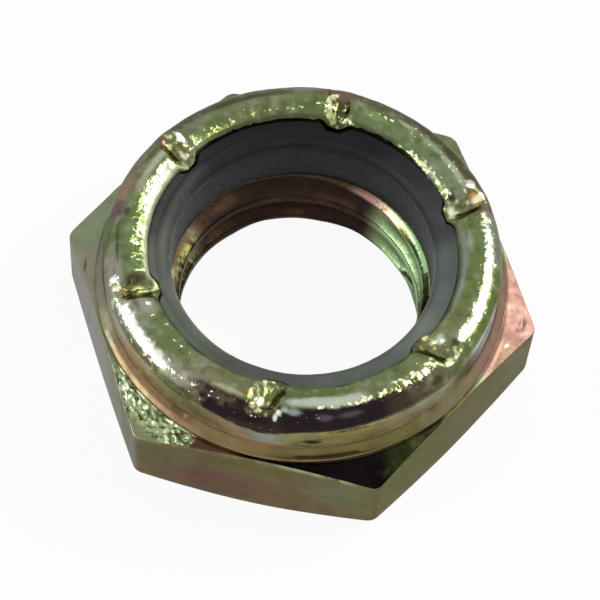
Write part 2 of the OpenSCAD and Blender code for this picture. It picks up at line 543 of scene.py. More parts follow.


# Bands of painted glints on the lip, where it is also more rippled: middle and half length
# in degrees, radius, half width and how many of them there are
GLINTS = [(-54, 6, 12.25, 0.3, 0.9), (-41, 7, 12.15, 0.5, 1.0), (-67, 6, 12.3, 0.16, 0.85),
          (-128, 14, 11.3, 0.4, 0.45), (135, 14, 10.95, 0.22, 0.85), (111, 9, 11.15, 0.22, 0.65),
          (92.5, 4, 11.55, 0.2, 0.9), (86.5, 2, 10.8, 0.3, 1.0), (75, 4, 11.7, 0.35, 0.65),
          (58, 5, 11.9, 0.3, 0.7), (186, 9, 11.05, 0.35, 0.95), (197, 6, 11.3, 0.35, 0.6),
          (44, 9, 12.0, 0.4, 0.6), (-151, 3, 12.9, 0.4, 0.8), (15, 8, 12.6, 0.4, 0.8),
          (-10, 11, 12.5, 0.5, 0.8), (167, 11, 11.1, 0.5, 0.85), (48, 11, 10.7, 0.3, 0.85),
          (-102, 11, 12.9, 0.7, 0.45), (-82, 10, 13.1, 0.6, 0.32), (-134, 12, 12.95, 0.5, 0.7)]


def on_lip(radius):
    """Place on the upper skin of the lip at this radius: radius and height."""
    flat_to = BEND_AT[0] + BEND_OUTER_R * math.cos(math.radians(LIP_BEND))
    if radius > flat_to:
        out = radius - BEND_AT[0]
        return radius, BEND_AT[1] + math.sqrt(BEND_OUTER_R ** 2 - out ** 2)
    return radius, NUT_H - 0.06 - (flat_to - radius) * math.tan(math.radians(LIP_BEND - 90))


# Patches of colour, here and below, in the order of Coat.blots()
# On the lip, the near-white patches at -12, 4, 47 and 167 degrees are painted highlights, and the pale
# grey ones at -72, -66, 14, 44, 57, 66 and 160 degrees painted reflections; the others are tones of the
# plating
LIP_PATCHES = [
    (-72, 11.9, (2.6, 0.32), 0.85, (184, 192, 178)),
    (-66, 12.2, (1.6, 0.26), 0.6, (196, 202, 184)),
    (-143, 11.5, (0.8, 0.4), 0.7, (158, 156, 146)),
    (-102, 12.1, (1.0, 0.14), 0.8, (178, 172, 140)),
    (-113, 12.7, (0.9, 0.4), 0.8, (168, 164, 142)),
    (-12, 12.45, (2.3, 0.34), 0.9, (222, 226, 190)),
    (4, 12.5, (1.5, 0.24), 0.8, (206, 214, 170)),
    (4, 10.8, (3.4, 0.24), 0.85, (132, 132, 134)),
    (14, 12.5, (1.6, 0.3), 0.7, (184, 192, 182)),
    (16, 11.2, (0.7, 0.14), 0.7, (150, 160, 150)),
    (47, (10.62, 10.72), (2.0, 0.2), 0.9, (222, 226, 190)),
    (44, 12.0, (1.8, 0.24), 0.75, (172, 184, 162)),
    (57, 12.0, (0.8, 0.2), 0.6, (160, 174, 146)),
    (66, 12.1, (0.6, 0.14), 0.7, (176, 186, 164)),
    (76, 11.6, (0.9, 0.3), 0.6, (132, 150, 104)),
    (102, 12.8, (1.2, 0.3), 0.7, (134, 138, 130)),
    (112, 12.4, (1.4, 0.22), 0.7, (74, 80, 56)),
    (124, 12.4, (1.8, 0.24), 0.8, (66, 72, 56)),
    (138, 12.0, (1.2, 0.3), 0.6, (124, 124, 110)),
    (167, 11.05, (2.0, 0.32), 0.9, (226, 230, 200)),
    (160, 11.9, (1.6, 0.24), 0.8, (176, 184, 162)),
    (170, 11.9, (1.0, 0.3), 0.7, (168, 158, 140)),
    (158, 12.5, (0.9, 0.2), 0.7, (78, 84, 64)),
    (171, (13.3, 10.2), (1.4, 0.3), 0.7, (84, 78, 76)),
    (193, 12.5, (1.6, 0.1), 0.8, (56, 60, 44)),
    (181, 12.1, (0.3, 0.2), 0.8, (70, 62, 60))]


def paint_lip(coat):
    """Olive green with clouds of moss, khaki and pale grey, browner and greyer outside, with painted
    highlights, reflections and glints, and painted shade at the back of its rounded end.
    """
    lip = coat.zone == LIP
    coat.base(lip, (108, 119, 80))
    coat.base(lip * smooth(coat.cloud, 0.0, 0.5) * 0.6, (96, 118, 64))
    coat.base(lip * smooth(coat.cloud, -0.15, -0.55) * 0.6, (136, 133, 110))
    inner = lip * smooth(coat.radius, 11.9, 11.5)
    coat.sectors(inner, [
        (-76, 10, 0.6, (84, 98, 56)), (-20, 14, 0.6, (112, 112, 68)), (8, 16, 0.6, (102, 118, 64)),
        (44, 10, 0.6, (124, 136, 110)), (66, 10, 0.6, (104, 120, 84)),
        (-100, 6, 0.6, (116, 112, 78)), (115, 20, 0.6, (92, 102, 58)), (194, 8, 0.6, (100, 122, 74))])
    outer = lip * smooth(coat.radius + 0.2 * coat.ragged, 12.1, 12.6) * (coat.height > 9.6)
    coat.base(outer * 0.9, (100, 100, 74))
    coat.sectors(outer, [
        (172, 8, 0.9, (140, 116, 100)), (184, 4, 0.85, (96, 88, 90)), (195, 8, 0.8, (96, 112, 72)),
        (203, 5, 0.7, (142, 138, 128)), (158, 8, 0.8, (112, 110, 88)), (132, 14, 0.9, (84, 86, 68)),
        (108, 12, 0.8, (100, 106, 90)), (90, 5, 0.9, (118, 94, 82)), (72, 10, 0.85, (94, 86, 74)),
        (50, 12, 0.9, (80, 74, 58)), (28, 4, 0.8, (122, 108, 90)), (15, 8, 0.6, (140, 146, 134)),
        (-8, 12, 0.8, (100, 120, 62)), (-28, 5, 0.7, (98, 104, 68)), (-42, 6, 0.8, (96, 90, 72)),
        (-150, 8, 0.7, (140, 138, 126))], 5)
    light = grain(coat.points, 0.7, 26) + 0.5 * coat.spark
    coat.base(lip * smooth(light, 0.2, 0.5) * 0.4, (150, 158, 134))
    coat.base(lip * smooth(light, -0.2, -0.5) * 0.45, (72, 80, 46))
    # Painted highlight: pale bands on the bend at the front left, where the left lamp is mirrored
    tilt = np.degrees(np.arctan2(coat.height - BEND_AT[1], coat.radius - BEND_AT[0]))
    tilt = tilt + 16 * coat.ragged + 8 * coat.spark
    coat.base(lip * smooth(np.abs(tilt - 52), 26, 14) * coat.near(-131, 16, 5) * 0.6, (160, 164, 144))
    coat.base(lip * smooth(np.abs(tilt - 51), 17, 9) * coat.near(-134, 9, 6) * 0.95, (232, 232, 224))
    coat.blots([LIP], LIP_PATCHES, 0.7)
    # Rounded end of the lip: painted shade at the back, a painted highlight on the left, and a lighter
    # tone elsewhere that hides the dark crease against the ring
    nose = lip * smooth(coat.radius, 10.85, 10.6)
    coat.base(nose * (1 - coat.near(100, 38, 14)) * 0.75, (112, 117, 90))
    coat.base(nose * coat.near(178, 22, 12) * 0.75, (200, 206, 168))
    coat.base(nose * coat.near(100, 30, 14) * 0.7, (62, 60, 48))
    # Share of painted glints along each band
    for centre, half, radius, width, many in GLINTS:
        band = coat.near(centre, half, 3) * smooth(np.abs(coat.radius - radius), 1.3 * width, width / 2)
        coat.fleck = np.maximum(coat.fleck, lip * band * (coat.height > 9.9) * many)


# Patches in the painted dark reflection on the bend, with a blue-grey painted reflection at -81 degrees
BEND_PATCHES = [
    (-81, 12.6, (0.5, 0.16), 0.9, (140, 150, 156)),
    (-64, 12.9, (0.8, 0.2), 0.6, (92, 88, 94)),
    (-72, 12.9, (0.5, 0.2), 0.6, (96, 86, 94)),
    (-96, 12.9, (0.9, 0.3), 0.6, (58, 34, 32)),
    (-104, 12.7, (0.8, 0.3), 0.6, (70, 54, 48)),
    (-110, 12.8, (0.6, 0.26), 0.7, (78, 70, 60)),
    (-36.5, 13.1, (0.5, 0.26), 0.85, (60, 64, 36)),
    (-88, (13.4, 9.9), (1.0, 0.3), 0.5, (62, 42, 38)),
    (-51, 12.75, (0.8, 0.08), 0.8, (40, 40, 30))]


def paint_bend(coat):
    """Painted reflections on the bend: dark plum in front, mirroring dark surroundings, and pale on the
    right.
    """
    skin = (coat.zone == LIP) | (coat.zone == WALL)
    turned = [-118, -108, -100, -95, -90, -86, -83, -78, -70, -62, -50, -40]
    lowest = [10.4, 9.85, 9.6, 9.3, 9.2, 9.35, 9.55, 9.85, 9.9, 10.0, 10.05, 10.1]
    lower = np.interp(coat.angle, turned, lowest)
    bend = skin * smooth(coat.radius + 0.4 * coat.ragged, 12.25, 12.45) * (coat.height > 9)
    bend = bend * smooth(coat.height + 0.16 * coat.ragged, lower - 0.08, lower + 0.08)
    # Painted dark reflection: plum over the bend in front, cloudier and browner in places, and darker
    # at -46 degrees
    plum = bend * smooth(np.abs(turn_from(coat.angle, -79)) + 6 * coat.ragged, 37, 30)
    coat.base(plum * 0.97, (36, 26, 31))
    coat.base(plum * smooth(coat.cloud, 0.1, 0.5) * 0.4, (66, 54, 54))
    coat.base(plum * coat.near(-108, 6, 6) * smooth(coat.ragged, 0.0, 0.3) * 0.8, (112, 98, 80))
    coat.base(bend * coat.near(-46, 4, 6) * 0.7, (72, 62, 50))
    # Painted reflection: a pale band on the right of the bend
    pale_reflection = (coat.zone == LIP) * smooth(coat.height, 10.35, 10.1) * smooth(coat.height, 9.6, 9.75)
    coat.base(pale_reflection * coat.near(-13, 6, 5) * 0.9, (202, 210, 216))
    coat.blots([LIP], BEND_PATCHES, 0.6)


WALL_PATCHES = [
    (-89, (13.45, 8.65), (1.1, 0.5), 0.9, (156, 164, 156)),
    (-119, (13.45, 9.2), (0.3, 0.4), 0.6, (182, 176, 164)),
    (-115, (13.45, 9.0), (0.2, 0.5), 0.6, (176, 172, 156)),
    (-98, (13.45, 8.6), (0.9, 0.6), 0.6, (158, 136, 108)),
    (-72, (13.45, 9.0), (1.6, 0.4), 0.6, (142, 140, 88))]


def paint_wall(coat):
    """Satin collar wall and its foot: mauve, beige and olive by turns, with a pale painted reflection
    on the right, painted shade in the groove, slots and under the foot, and painted highlights along
    the foot.
    """
    low_lip = (coat.zone == LIP) * (coat.radius > 12.8) * smooth(coat.height, 9.95, 9.65)
    skin = np.clip((coat.zone == WALL) + low_lip, 0, 1)
    coat.base(skin, (132, 126, 98))
    coat.sectors(skin, [
        (-148, 10, 1, (180, 174, 156)), (-128, 8, 1, (204, 178, 146)),
        (-116, 5, 0.8, (186, 168, 138)), (-104, 8, 1, (150, 132, 100)), (-77, 8, 1, (148, 142, 98)),
        (-63, 7, 1, (182, 168, 110)), (-49, 6, 1, (162, 148, 106)), (-36, 6, 1, (158, 158, 132)),
        (-23.5, 3, 1, (112, 106, 76)), (60, 50, 1, (120, 120, 104)),
        (150, 30, 1, (112, 108, 92)), (190, 12, 1, (126, 122, 110))], 6)
    streak = grain(coat.points * np.array([1, 1, 0.12]), 0.3, 29)
    # Painted reflection: pale streaks on the right of the wall
    pale_reflection = skin * coat.near(-10, 4, 10) * smooth(coat.height + 0.3 * coat.ragged, 7.6, 8.1)
    coat.base(pale_reflection * (0.8 + 0.2 * smooth(streak, 0.3, -0.3)), (216, 228, 230))
    coat.base(pale_reflection * smooth(streak, 0, 0.4) * 0.25, (166, 176, 180))
    low = (coat.zone == WALL) * smooth(coat.height, 8.5, 7.9)
    coat.base(low * coat.near(-118, 34, 10) * 0.85, (214, 190, 150))
    coat.base(low * coat.near(-50, 22, 8) * 0.8, (190, 174, 126))
    coat.blots([WALL], WALL_PATCHES, 0.3, 0.5)
    foot = coat.zone == FOOT
    coat.base(foot, (126, 112, 82))
    coat.sectors(foot, [
        (-148, 8, 1, (130, 126, 104)), (-130, 9, 1, (128, 112, 84)), (-113, 6, 1, (138, 114, 86)),
        (-96, 8, 1, (122, 104, 70)), (-75, 9, 1, (108, 98, 60)), (-52, 8, 1, (106, 100, 60)),
        (-32, 8, 1, (122, 112, 82)), (-4, 12, 1, (140, 114, 98)), (90, 60, 1, (124, 116, 90)),
        (180, 22, 1, (118, 114, 98))], 6)
    both = skin + foot
    flare = both * smooth(coat.height, 7.1, 7.3) * smooth(coat.height, 7.75, 7.6)
    coat.base(flare * coat.near(-128, 16, 8) * 0.9, (92, 77, 56))
    coat.rough += 0.25 * flare * coat.near(-130, 14, 10)
    # Painted shade along the tool line
    groove = both * hump(coat.height - GROOVE_Z, GROOVE_W)
    coat.base(groove * coat.near(-100, 34, 20) * 0.5, (98, 74, 46))
    # Painted shade in dark lines by the groove and under the foot, painted highlights in light lines
    # along the foot's edges
    for level, centre, half, colour in (
            (7.32, -55, 14, (70, 58, 30)), (7.2, -55, 10, (132, 128, 66)),
            (7.05, -66, 20, (40, 30, 18)), (7.0, -71, 8, (22, 16, 12)),
            (7.08, -71, 9, (22, 16, 12)), (6.93, -100, 40, (130, 114, 84))):
        line = both * hump(coat.height - level, 0.045)
        coat.base(line * coat.near(centre, half, 10) * 0.8, colour)
    # Painted shade in the slots
    for at, level, half, width in SLOTS[:5]:
        place = (COLLAR_R if level > 8 else 13.6, level)
        coat.blots([WALL, FOOT], [(at, place, (half * 0.22, width + 0.1), 0.9, (26, 20, 14))], 0.15)


# The darkest spots, in the pits at 0.4 and 189 degrees, are painted shade, and the pale one at -131
# degrees a painted glint; the rest are tones of the plating
SHOULDER_PATCHES = [
    (-9, (15.0, 6.5), (1.0, 0.4), 0.7, (136, 116, 92)),
    (0.4, (15.42, 6.4), (0.5, 0.12), 0.9, (44, 28, 22)),
    (-1.5, (15.2, 6.45), (0.16, 0.16), 0.8, (80, 52, 44)),
    (-7, (14.8, 6.5), (0.2, 0.14), 0.9, (206, 188, 178)),
    (-10, (14.4, 6.6), (1.4, 0.12), 0.6, (160, 132, 108)),
    (-131, (14.4, 6.6), (1.4, 0.1), 0.8, (216, 222, 200)),
    (189, (14.8, 6.5), (0.5, 0.08), 0.8, (62, 64, 50))]


def paint_shoulder(coat):
    """Top corners of the hexagon: torn green with painted glints, near-black plum in front as a painted
    dark reflection, pink, and plain olive behind.
    """
    shoulder = coat.zone == SHOULDER
    coat.base(shoulder, (120, 124, 92))
    coat.sectors(shoulder, [(120, 22, 1, (110, 108, 78)), (60, 22, 1, (104, 112, 78)),
                            (180, 14, 1, (120, 130, 102)), (193, 6, 0.8, (132, 126, 110))])
    torn = shoulder * coat.near(-121, 16, 3)
    coat.base(torn, (150, 167, 124))
    # Painted glints and painted shade on the torn metal: pale and dark specks among its facets
    coat.base(torn * smooth(coat.ragged, 0.08, 0.24) * 0.85, (62, 76, 48))
    coat.base(torn * smooth(coat.ragged, -0.08, -0.26) * 0.85, (214, 224, 194))
    coat.base(torn * smooth(coat.radius, 15.4, 15.8), (126, 128, 100))
    # Painted dark reflection on the shoulder in front: near-black plum, browner and olive towards its
    # ends
    coat.sectors(shoulder, [(-101, 6, 1, (80, 58, 44))], 3)
    black = shoulder * coat.near(-74, 19, 4)
    coat.base(black, (15, 11, 13))
    coat.sectors(shoulder, [(-66, 3, 0.5, (26, 17, 19)), (-44, 9, 1, (36, 38, 20)),
                            (-29, 4, 1, (104, 104, 66))], 5)
    coat.base(shoulder * coat.near(-48, 8, 4) * smooth(coat.ragged, 0.05, 0.3) * 0.6, (62, 64, 38))
    pink = shoulder * coat.near(0, 13, 9)
    coat.base(pink, (148, 113, 102))
    coat.base(pink * coat.near(-9, 4, 5) * 0.8, (112, 84, 74))
    coat.base(pink * smooth(coat.ragged, 0.0, 0.3) * 0.7, (120, 88, 77))
    coat.base(pink * smooth(coat.ragged, -0.16, -0.32) * 0.8, (172, 142, 132))
    coat.blots([SHOULDER], SHOULDER_PATCHES)


FACE_PATCHES = [
    (-103, (14.6, 2.4), (3.4, 1.8), 0.9, (106, 76, 68)),
    (-84, (14.3, 1.6), (5.0, 1.4), 0.6, (106, 84, 66)),
    (-66, (15, 4.4), (2.2, 1.8), 0.8, (110, 114, 84)),
    (-113, (15.2, 4.8), (2.0, 1.6), 0.6, (100, 98, 72)),
    (-92, (14.3, 5.4), (5.0, 0.9), 0.7, (98, 94, 56)),
    (-48, (15, 4.0), (3.4, 2.6), 0.8, (100, 101, 56)),
    (-20, (14.8, 3.4), (2.6, 2.4), 0.6, (110, 104, 74)),
    (-5, (16, 4), (1.2, 3), 0.8, (122, 116, 92)),
    (-9, (15.4, 5.8), (1.0, 0.5), 0.7, (140, 116, 98)),
    (-133, (15, 4.6), (2.6, 2.6), 0.8, (122, 126, 108)),
    (-125, (15.8, 3.0), (1.2, 3.4), 0.8, (106, 108, 92)),
    (-130, (15.2, 5.4), (0.5, 0.7), 0.6, (84, 88, 66)),
    (-160, (14.6, 3.6), (3, 2.6), 0.8, (144, 140, 144))]


def paint_faces(coat):
    """Six flats and their corners, each with its own soft clouds of colour, and painted highlights
    along their top edges.
    """
    face = coat.zone == FACE
    for centre, colour in ((-90, (112, 100, 74)), (-30, (106, 101, 66)), (30, (112, 104, 78)),
                           (90, (108, 100, 76)), (150, (108, 110, 82)), (210, (136, 134, 130))):
        coat.base(face * coat.near(centre, 29.6, 1), colour)
    coat.base(face * smooth(coat.cloud, 0.1, 0.7) * 0.15, (116, 104, 80))
    coat.blots([FACE], FACE_PATCHES, 0.4, 0.8)
    coat.blots([FACE], [
        (at, (14.6, level), (size, 1.6 * size), 0.7, (56, 58, 46))
        for at, level, size in ((-168, 3.4, 0.26), (-166, 4.9, 0.22), (-163, 2.7, 0.24))], 0.3)
    arris = face & (np.roll(coat.zone, 1, axis=0) == SHOULDER)
    # Painted highlights along the top edges of the flats, brightest at -75 degrees
    coat.base(arris * smooth(coat.ragged, -0.2, 0.25) * 0.5, (132, 140, 104))
    coat.base(arris * coat.near(-75, 7, 4) * smooth(coat.ragged, -0.2, 0.1) * 0.9, (168, 178, 128))
    under = coat.zone == UNDER
    coat.base(under, (128, 124, 92))
    coat.base(under * smooth(coat.cloud, 0.0, 0.5) * 0.6, (140, 120, 102))
    coat.base(under * smooth(coat.cloud, -0.1, -0.5) * 0.6, (110, 126, 92))


def paint_bore(coat):
    """Thread: brown in the shade, pink, gold and mint on the right with painted shade in its roots,
    yellow glints on the left.
    """
    bore = coat.zone == BORE
    coat.base(bore, (84, 78, 56))
    coat.base(bore * coat.near(112, 40, 16), (48, 36, 30))
    shade = bore * coat.near(112, 34, 16)
    coat.base(shade * smooth(coat.height, 4.6, 5.4) * 0.7, (74, 56, 42))
    streak = grain(coat.points * np.array([0.5, 0.5, 3]), 1.0, 27)
    coat.base(shade * smooth(streak, 0.1, 0.4) * 0.5, (84, 62, 46))
    along = (coat.height - PITCH * (coat.angle % 360) / 360) % PITCH
    off_crest = np.abs(along - CREST_W / 2)
    off_crest = np.minimum(off_crest, PITCH - off_crest)
    root = smooth(off_crest, 0.42, 0.7)
    right = bore * coat.near(36, 14, 20)
    coat.base(right, (156, 188, 136))
    # Painted shade in the roots of the thread on the right
    coat.base(right * root * 0.85, (44, 50, 24))
    coat.blots([BORE], [(64, (8.8, 5.3), (2.2, 0.7), 0.9, (166, 130, 118)),
                        (45, (8.8, 5.1), (1.6, 0.6), 0.8, (206, 190, 126))], 0.3, 0.4)
    left = bore * coat.near(172, 7, 6)
    coat.base(left * 0.9, (46, 38, 26))
    glint = smooth(grain(coat.points * np.array([1.6, 1.6, 0.6]), 0.6, 28), 0.08, 0.3)
    coat.base(left * glint * smooth(coat.height, 4.9, 4.5) * 0.6, (122, 124, 66))


# Near-white spots in the marks are painted glints and highlights, the darkest ones painted shade in the
# hollows; the orange, gold and brown ones are tones of the plating
MARK_PATCHES = [
    (-154.5, (11.6, 10.6), (0.3, 0.7), 0.8, (60, 46, 44)),
    (-150.2, (11.4, 10.5), (0.4, 0.6), 0.95, (250, 250, 170)),
    (-151, (12.3, 10.6), (0.4, 0.3), 0.7, (98, 82, 60)),
    (-155, 13.0, (0.22, 0.3), 0.9, (236, 238, 230)),
    (-152.5, 13.0, (0.16, 0.2), 0.9, (226, 230, 200)),
    (-149, (13.3, 10.1), (0.3, 0.5), 0.8, (206, 216, 196)),
    (-95.6, (11.8, 11.0), (0.26, 0.22), 0.85, (206, 104, 62)),
    (-95.2, (11.7, 11.0), (0.13, 0.12), 0.95, (255, 234, 214)),
    (-91.5, (12.0, 10.8), (0.4, 0.3), 0.9, (240, 243, 190)),
    (-88, (11.2, 10.5), (0.7, 0.5), 0.7, (94, 110, 64)),
    (-85.4, (12.7, 11.0), (0.2, 0.2), 0.95, (238, 242, 220)),
    (-86.2, (13.0, 10.8), (0.14, 0.26), 0.9, (238, 242, 220)),
    (-84, (12.5, 11.1), (0.2, 0.16), 0.8, (180, 192, 176)),
    (-29.6, (12.75, 10.9), (0.3, 0.3), 0.95, (240, 244, 178)),
    (-27.5, (12.9, 10.9), (0.2, 0.14), 0.9, (240, 242, 210)),
    (-25.6, (11.3, 10.9), (0.36, 0.32), 0.85, (196, 210, 186)),
    (-23.8, (12.3, 11.1), (0.16, 0.3), 0.85, (50, 44, 42)),
    (30, (10.6, 10.4), (0.5, 0.22), 0.85, (214, 222, 200)),
    (35.0, (10.9, 10.8), (0.4, 0.25), 0.85, (40, 38, 50)),
    (28, (12.3, 10.8), (0.5, 0.7), 0.7, (120, 106, 88)),
    (31.6, (12.5, 10.8), (0.3, 0.5), 0.9, (250, 232, 190)),
    (33.4, (12.35, 10.8), (0.09, 0.26), 0.9, (214, 142, 64)),
    (36.6, (12.4, 11.0), (0.3, 0.4), 0.85, (226, 230, 222)),
    (86.0, (10.8, 10.6), (0.5, 0.25), 0.8, (214, 222, 200)),
    (93, (11.6, 11.0), (0.8, 0.14), 0.8, (238, 240, 206)),
    (89.5, (12.7, 10.9), (1.0, 0.5), 0.8, (116, 94, 80)),
    (93.8, (12.4, 11.1), (0.1, 0.5), 0.7, (70, 56, 48)),
    (151.3, (10.8, 10.6), (0.36, 0.22), 0.9, (242, 244, 222)),
    (154.2, (10.8, 10.6), (0.3, 0.35), 0.8, (116, 114, 54)),
    (147.2, (12.0, 11.0), (0.14, 0.6), 0.9, (234, 237, 228)),
    (152, (12.6, 10.9), (0.5, 0.5), 0.8, (112, 92, 74))]


def paint_marks(coat):
    """Stake marks: brown olive hollows with painted glints, a few spots of painted highlight and shade,
    and gold and orange spots.
    """
    lip = coat.zone == LIP
    for mark in MARKS:
        off = np.abs(across_mark(mark, coat.angle, coat.radius)) / mark.half
        hollow = lip * smooth(off, 1, 0.3) * smooth(coat.radius, 13.2, 12.7)
        coat.base(hollow * 0.6, (112, 113, 76))
        coat.base(hollow * smooth(coat.spark, 0.1, 0.3) * 0.6, (76, 68, 42))
        # Share of painted glints in each hollow, less in the faint mark
        bright = 0.8
        if mark is FAINT_MARK:
            bright = 0.25
            coat.base(hollow * 0.75, (56, 60, 36))
        coat.base(hollow * smooth(coat.spark, -0.28, -0.42) * bright, (226, 230, 170))
    coat.blots([LIP], MARK_PATCHES, 0.6)


def steel_coat(grid):
    """Yellow zinc plating of the whole nut, with painted highlights, reflections, glints and shade, and
    how rough and how rippled it is.
    """
    coat = Coat(grid)
    for zone, rough, peel in ((LIP, 0.13, 1.0), (WALL, 0.36, 0.1), (FOOT, 0.3, 0.1),
                              (SHOULDER, 0.34, 0.25), (FACE, 0.42, 0.02), (UNDER, 0.4, 0.08),
                              (BORE, 0.26, 0.35), (POCKET, 0.4, 0.1)):
        coat.rough[coat.zone == zone] = rough
        coat.peel[coat.zone == zone] = peel
    coat.base(coat.zone == POCKET, (112, 110, 84))
    for paint in (paint_lip, paint_wall, paint_bend, paint_shoulder, paint_faces, paint_bore,
                  paint_marks):
        paint(coat)
    lip = coat.zone == LIP
    dull = lip * smooth(coat.radius, 12.2, 12.8) * (1 - coat.near(-133, 14, 6))
    coat.rough += 0.12 * dull
    nose = lip * smooth(coat.radius, 10.85, 10.6) * (1 - coat.near(100, 38, 14))
    coat.rough += (0.6 - coat.rough) * nose
    beaten = 0
    for centre, half, radius, width, many in GLINTS:
        band = coat.near(centre, half, 3) * smooth(np.abs(coat.radius - radius), 1.6 * width, width)
        beaten = np.maximum(beaten, band * many ** 2)
    coat.peel += lip * (0.4 + 0.6 * beaten - coat.peel)
    coat.rough += 0.1 * lip * coat.near(-72, 12, 6) * smooth(coat.radius, 12.2, 11.9)
    coat.rough += 0.16 * (coat.zone == WALL) * coat.near(-60, 9, 8)
    skirt = lip * smooth(coat.height, 9.75, 9.45) * (coat.radius > 12.8)
    coat.rough += (0.36 - coat.rough) * skirt
    coat.rough += 0.18 * (coat.zone == BORE) * coat.near(112, 40, 16)
    coat.rough += 0.12 * (coat.zone == SHOULDER) * coat.near(0, 16, 7)
    coat.peel *= 1 - 0.8 * skirt
    return coat


def new_material(name):
    """Material with a Principled shader: returns it, its tree and the shader."""
    material = bpy.data.materials.new(name)
    material.use_nodes = True
    tree = material.node_tree
    return material, tree, tree.nodes["Principled BSDF"]


def make(tree, kind, links=None, **values):
    """New node with values and links set by the names of its sockets."""
    made = tree.nodes.new(kind)
    for key, value in values.items():
        setattr(made, key, value)
    for socket, value in (links or {}).items():
        target = made.inputs[socket]
        if isinstance(value, bpy.types.NodeSocket):
            tree.links.new(value, target)
        else:
            target.default_value = value
    return made


def stored(tree, name, output="Fac"):
    """What the mesh stores at its points under this name."""
    return make(tree, "ShaderNodeAttribute", attribute_name=name).outputs[output]


def mix_colours(tree, first, second, share=1.0, blend="MIX"):
    """Second colour over the first; the node's colour sockets are told apart by number."""
    return make(tree, "ShaderNodeMix", {0: share, 6: first, 7: second},
                data_type="RGBA", blend_type=blend).outputs[2]


def millimetres(tree):
    """Object coordinates in millimetres."""
    coords = make(tree, "ShaderNodeTexCoord")
    scaled = make(tree, "ShaderNodeMapping", {"Vector": coords.outputs["Object"],
                                              "Scale": (1000, 1000, 1000)})
    return scaled.outputs["Vector"]


def speckle(tree, vector, scale, low, high, detail=3.0, lift=(0.0, 1.0)):
    """Noise mapped from low..high to the two values of lift, with a clamp."""
    cloud = make(tree, "ShaderNodeTexNoise", {"Vector": vector, "Scale": scale, "Detail": detail})
    spread = make(tree, "ShaderNodeMapRange", {"Value": cloud.outputs["Fac"], "From Min": low,
                                               "From Max": high, "To Min": lift[0],
                                               "To Max": lift[1]})
    return spread.outputs["Result"]


def scale_colour(tree, colour, factor):
    """Colour times a grey factor."""
    grey = make(tree, "ShaderNodeCombineColor", {"Red": factor, "Green": factor, "Blue": factor})
    return mix_colours(tree, colour, grey.outputs["Color"], blend="MULTIPLY")


def math_node(tree, operation, *values):
    """Output of a Math node on sockets or numbers."""
    made = make(tree, "ShaderNodeMath", operation=operation)
    for socket, value in zip(made.inputs, values):
        if isinstance(value, bpy.types.NodeSocket):
            tree.links.new(value, socket)
        else:
            socket.default_value = value
    return made.outputs["Value"]


def steel_material():
    """Plated steel: painted by the mesh, mottled, given painted glints and roughened here."""
    material, tree, shader = new_material("plated_steel")
    place = millimetres(tree)
    paint = stored(tree, "paint", "Color")
    rough = stored(tree, "rough")
    peel = stored(tree, "peel")
    fleck = stored(tree, "fleck")
    colour = scale_colour(tree, paint, speckle(tree, place, 0.8, 0.3, 0.7, 3, (0.88, 1.12)))
    colour = scale_colour(tree, colour, speckle(tree, place, 5, 0.66, 0.78, 2, (1.0, 0.72)))
    crumbs = speckle(tree, place, 2.7, 0, 1, 2)
    reach = math_node(tree, "ADD", crumbs, math_node(tree, "MULTIPLY_ADD", fleck, 0.24, -0.76))
    # Painted glints: a yellow fringe round pale specks, mixed into the colour in the glint bands
    fringe, glint = (0.4, 0.48, 0.1, 1), (0.94, 0.95, 0.78, 1)
    for start, stop, fewer, shade in ((-0.07, 0.0, -1.5, fringe), (0.0, 0.04, 0.0, glint)):
        inside = make(tree, "ShaderNodeMapRange", {"Value": reach, "From Min": start,
                                                   "From Max": stop}).outputs["Result"]
        allowed = math_node(tree, "MULTIPLY_ADD", fleck, 3.0, fewer)
        allowed = math_node(tree, "MAXIMUM", allowed, 0.0)
        share = math_node(tree, "MINIMUM", inside, allowed)
        colour = mix_colours(tree, colour, shade, share)
    tree.links.new(colour, shader.inputs["Base Color"])
    shader.inputs["Metallic"].default_value = 1.0
    shader.inputs["Specular Tint"].default_value = (0.62, 0.62, 0.56, 1)
    grit = speckle(tree, place, 3, 0.3, 0.7, 2, (-0.04, 0.06))
    tree.links.new(math_node(tree, "ADD", rough, grit), shader.inputs["Roughness"])
    normal = None
    for scale, low, high, detail, depth in ((1.1, 0.25, 0.75, 1, 0.06), (3.0, 0.25, 0.75, 1, 0.022),
                                            (2.6, 0.68, 0.78, 0, 0.03)):
        bump = make(tree, "ShaderNodeBump", {
            "Strength": peel, "Distance": depth * MM,
            "Height": speckle(tree, place, scale, low, high, detail)})
        if normal:
            tree.links.new(normal, bump.inputs["Normal"])
        normal = bump.outputs["Normal"]
    tree.links.new(normal, shader.inputs["Normal"])
    return material


def make_nut():
    """The steel piece with its paint and material."""
    grid = steel_grid()
    steel_bumps(grid)
    stake_marks(grid)
    grid.level_off(0, NUT_H)
    coat = steel_coat(grid)
    piece = grid.mesh("lock_nut_steel", {"paint": coat.colour, "rough": coat.rough,
                                         "peel": coat.peel, "fleck": coat.fleck})
    piece.data.materials.append(steel_material())
    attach(piece, "root")
    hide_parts("nut_body")
    return piece


# The nylon ring

